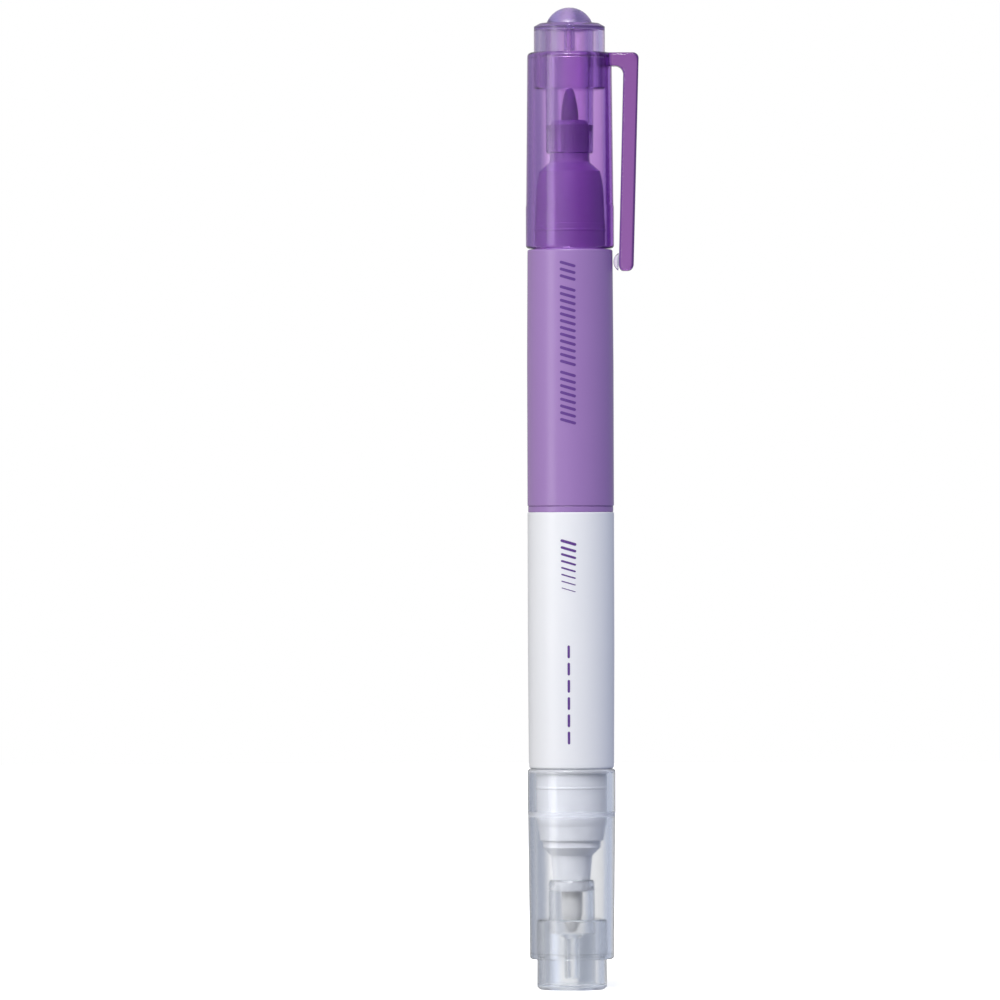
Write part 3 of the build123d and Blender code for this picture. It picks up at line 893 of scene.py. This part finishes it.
# ---------------------------------------------------------------- studio
FLOOR_RADIUS = 1.2
FLOOR_DROP = 0.00002         # keeps the floor clear of the pen's end face
FLOOR_GLOW = (0.45, 1.1)     # at the pen, and from GLOW_REACH on
GLOW_REACH = 0.12
FLOOR_BOUNCE = 2.9           # how much brighter the light from straight below is than from the sides


def stage_floor():
    """Pale plain floor that brightens away from the pen, so that it runs into the white backdrop."""
    form = bmesh.new()
    bmesh.ops.create_circle(form, cap_ends=True, segments=96, radius=FLOOR_RADIUS)
    mesh = mesh_of("floor", form)
    floor = placed("floor", mesh)
    floor.location.z = cad_box[0].z - FLOOR_DROP
    material, tree, shader = new_material("pale_floor")
    reach = tree.add("VectorMath", {0: tree.place}, operation="LENGTH").outputs["Value"]
    tree.feed(shader, {
        "Base Color": (0.86, 0.86, 0.87),
        "Roughness": 0.9,
        "Emission Color": WHITE,
        "Emission Strength": tree.mapped(reach, *FLOOR_GLOW, 0, GLOW_REACH, "SMOOTHSTEP"),
    })
    mesh.materials.append(material)
    floor.visible_diffuse = False
    floor.visible_glossy = False
    floor.visible_transmission = False


def area_light(name, bearing, rise, distance, size, watts):
    """Soft box, bearing degrees to the right of the camera and rise degrees above the pen's middle."""
    light = bpy.data.lights.new(name, "AREA")
    light.shape = "RECTANGLE"
    light.size, light.size_y = size
    light.energy = watts
    a, e = radians(bearing), radians(rise)
    away = Vector((sin(a) * cos(e), -cos(a) * cos(e), sin(e)))
    lamp = placed(name, light)
    lamp.location = Vector((0, 0, (cad_box[0].z + cad_box[1].z) / 2)) + away * distance
    lamp.rotation_euler = away.to_track_quat("Z", "Y").to_euler()


# Brightness of the surroundings by bearing: behind the pen at 0 degrees, to its right at 90.
# Stops are (bearing, brightness, tint).
COOL = (0.88, 0.96, 1.16)
SHADE = (0.80, 0.90, 1.25)
MIRRORED = (
    (-180, 0.45, WHITE), (-150, 1.1, WHITE), (-115, 1.2, WHITE), (-85, 0.7, WHITE),
    (-40, 0.45, WHITE), (0, 0.45, WHITE), (40, 0.32, WHITE), (75, 0.12, WHITE),
    (120, 0.06, WHITE), (155, 0.07, WHITE), (180, 0.45, WHITE),
)
SEEN_THROUGH = (
    (-180, 0.8, WHITE), (-150, 1.1, WHITE), (-115, 1.1, WHITE), (-85, 0.7, WHITE),
    (-30, 0.43, COOL), (-16, 0.38, COOL), (-9, 0.43, COOL), (-5.5, 0.84, WHITE),
    (0, 0.95, WHITE), (8, 0.90, WHITE), (15, 0.80, WHITE), (24, 0.72, COOL),
    (40, 0.66, COOL), (90, 0.5, COOL), (150, 0.5, WHITE), (180, 0.8, WHITE),
)
LIGHTING = (
    (-180, 0.22, WHITE), (-110, 0.28, WHITE), (-40, 0.40, WHITE), (0, 0.45, WHITE),
    (45, 0.42, SHADE), (90, 0.31, SHADE), (135, 0.21, SHADE), (180, 0.22, WHITE),
)


def by_bearing(tree, share, stops):
    """Colour signal from stops, where share is 0 at -180 degrees and 1 at 180."""
    ramp = tree.add("ValToRGB", {"Fac": share})
    elements = ramp.color_ramp.elements
    while len(elements) > 1:
        elements.remove(elements[-1])
    for i, (bearing, brightness, tint) in enumerate(stops):
        at = (bearing + 180) / 360
        element = elements[0] if i == 0 else elements.new(at)
        element.position = at
        element.color = (*(brightness * t for t in tint), 1)
    return ramp.outputs["Color"]


def studio_world():
    """White backdrop, with a soft studio surround for everything that isn't seen directly."""
    world = bpy.data.worlds.new("studio")
    bpy.context.scene.world = world
    tree = Shading(world, "Generated")
    bearing = tree.maths("ARCTAN2", tree.along("X"), tree.along("Y"))
    share = tree.mapped(bearing, 0, 1, -pi, pi)
    below = tree.mapped(tree.along("Z"), FLOOR_BOUNCE, 1, -0.9, -0.1)
    lighting = tree.add("VectorMath", {
        0: by_bearing(tree, share, LIGHTING), "Scale": below,
    }, operation="SCALE").outputs["Vector"]
    path = tree.add("LightPath").outputs
    after_diffuse = tree.maths("GREATER_THAN", path["Diffuse Depth"], 0.5)
    seen = by_bearing(tree, share, MIRRORED)
    seen = tree.mix(path["Is Transmission Ray"], seen, by_bearing(tree, share, SEEN_THROUGH))
    seen = tree.mix(after_diffuse, seen, lighting)
    seen = tree.mix(path["Is Camera Ray"], seen, WHITE)
    tree.feed(tree.nodes["Background"], {"Color": seen})


CAMERA_DISTANCE = 1.4
VIEW_SIZE = 0.14568          # width of the frame where the pen stands
PEN_OFFSET = 0.0103          # of the pen, right of the middle of the frame
CAMERA_HEIGHT = 0.0713
CAMERA_ROLL = radians(0.17)


def place_camera():
    data = bpy.data.cameras.new("camera")
    data.lens = data.sensor_width * CAMERA_DISTANCE / VIEW_SIZE
    data.clip_end = 10
    camera = placed("camera", data)
    camera.location = (-PEN_OFFSET, -CAMERA_DISTANCE, CAMERA_HEIGHT)
    camera.rotation_euler = (pi / 2, CAMERA_ROLL, 0)
    bpy.context.scene.camera = camera


stage_floor()
area_light("front_softbox", bearing=-11, rise=44, distance=0.9, size=(0.3, 0.3), watts=4.4)
area_light("top_softbox", bearing=-5, rise=54, distance=0.9, size=(1.0, 0.3), watts=3.2)
area_light("side_strip", bearing=-53, rise=0, distance=0.6, size=(0.22, 0.5), watts=0.8)
studio_world()
place_camera()

BOUNCES = 32                 # enough for the layers of clear plastic behind one another
scene = bpy.context.scene
scene.view_settings.view_transform = "Standard"
scene.cycles.max_bounces = BOUNCES
scene.cycles.transmission_bounces = BOUNCES
scene.cycles.transparent_max_bounces = BOUNCES
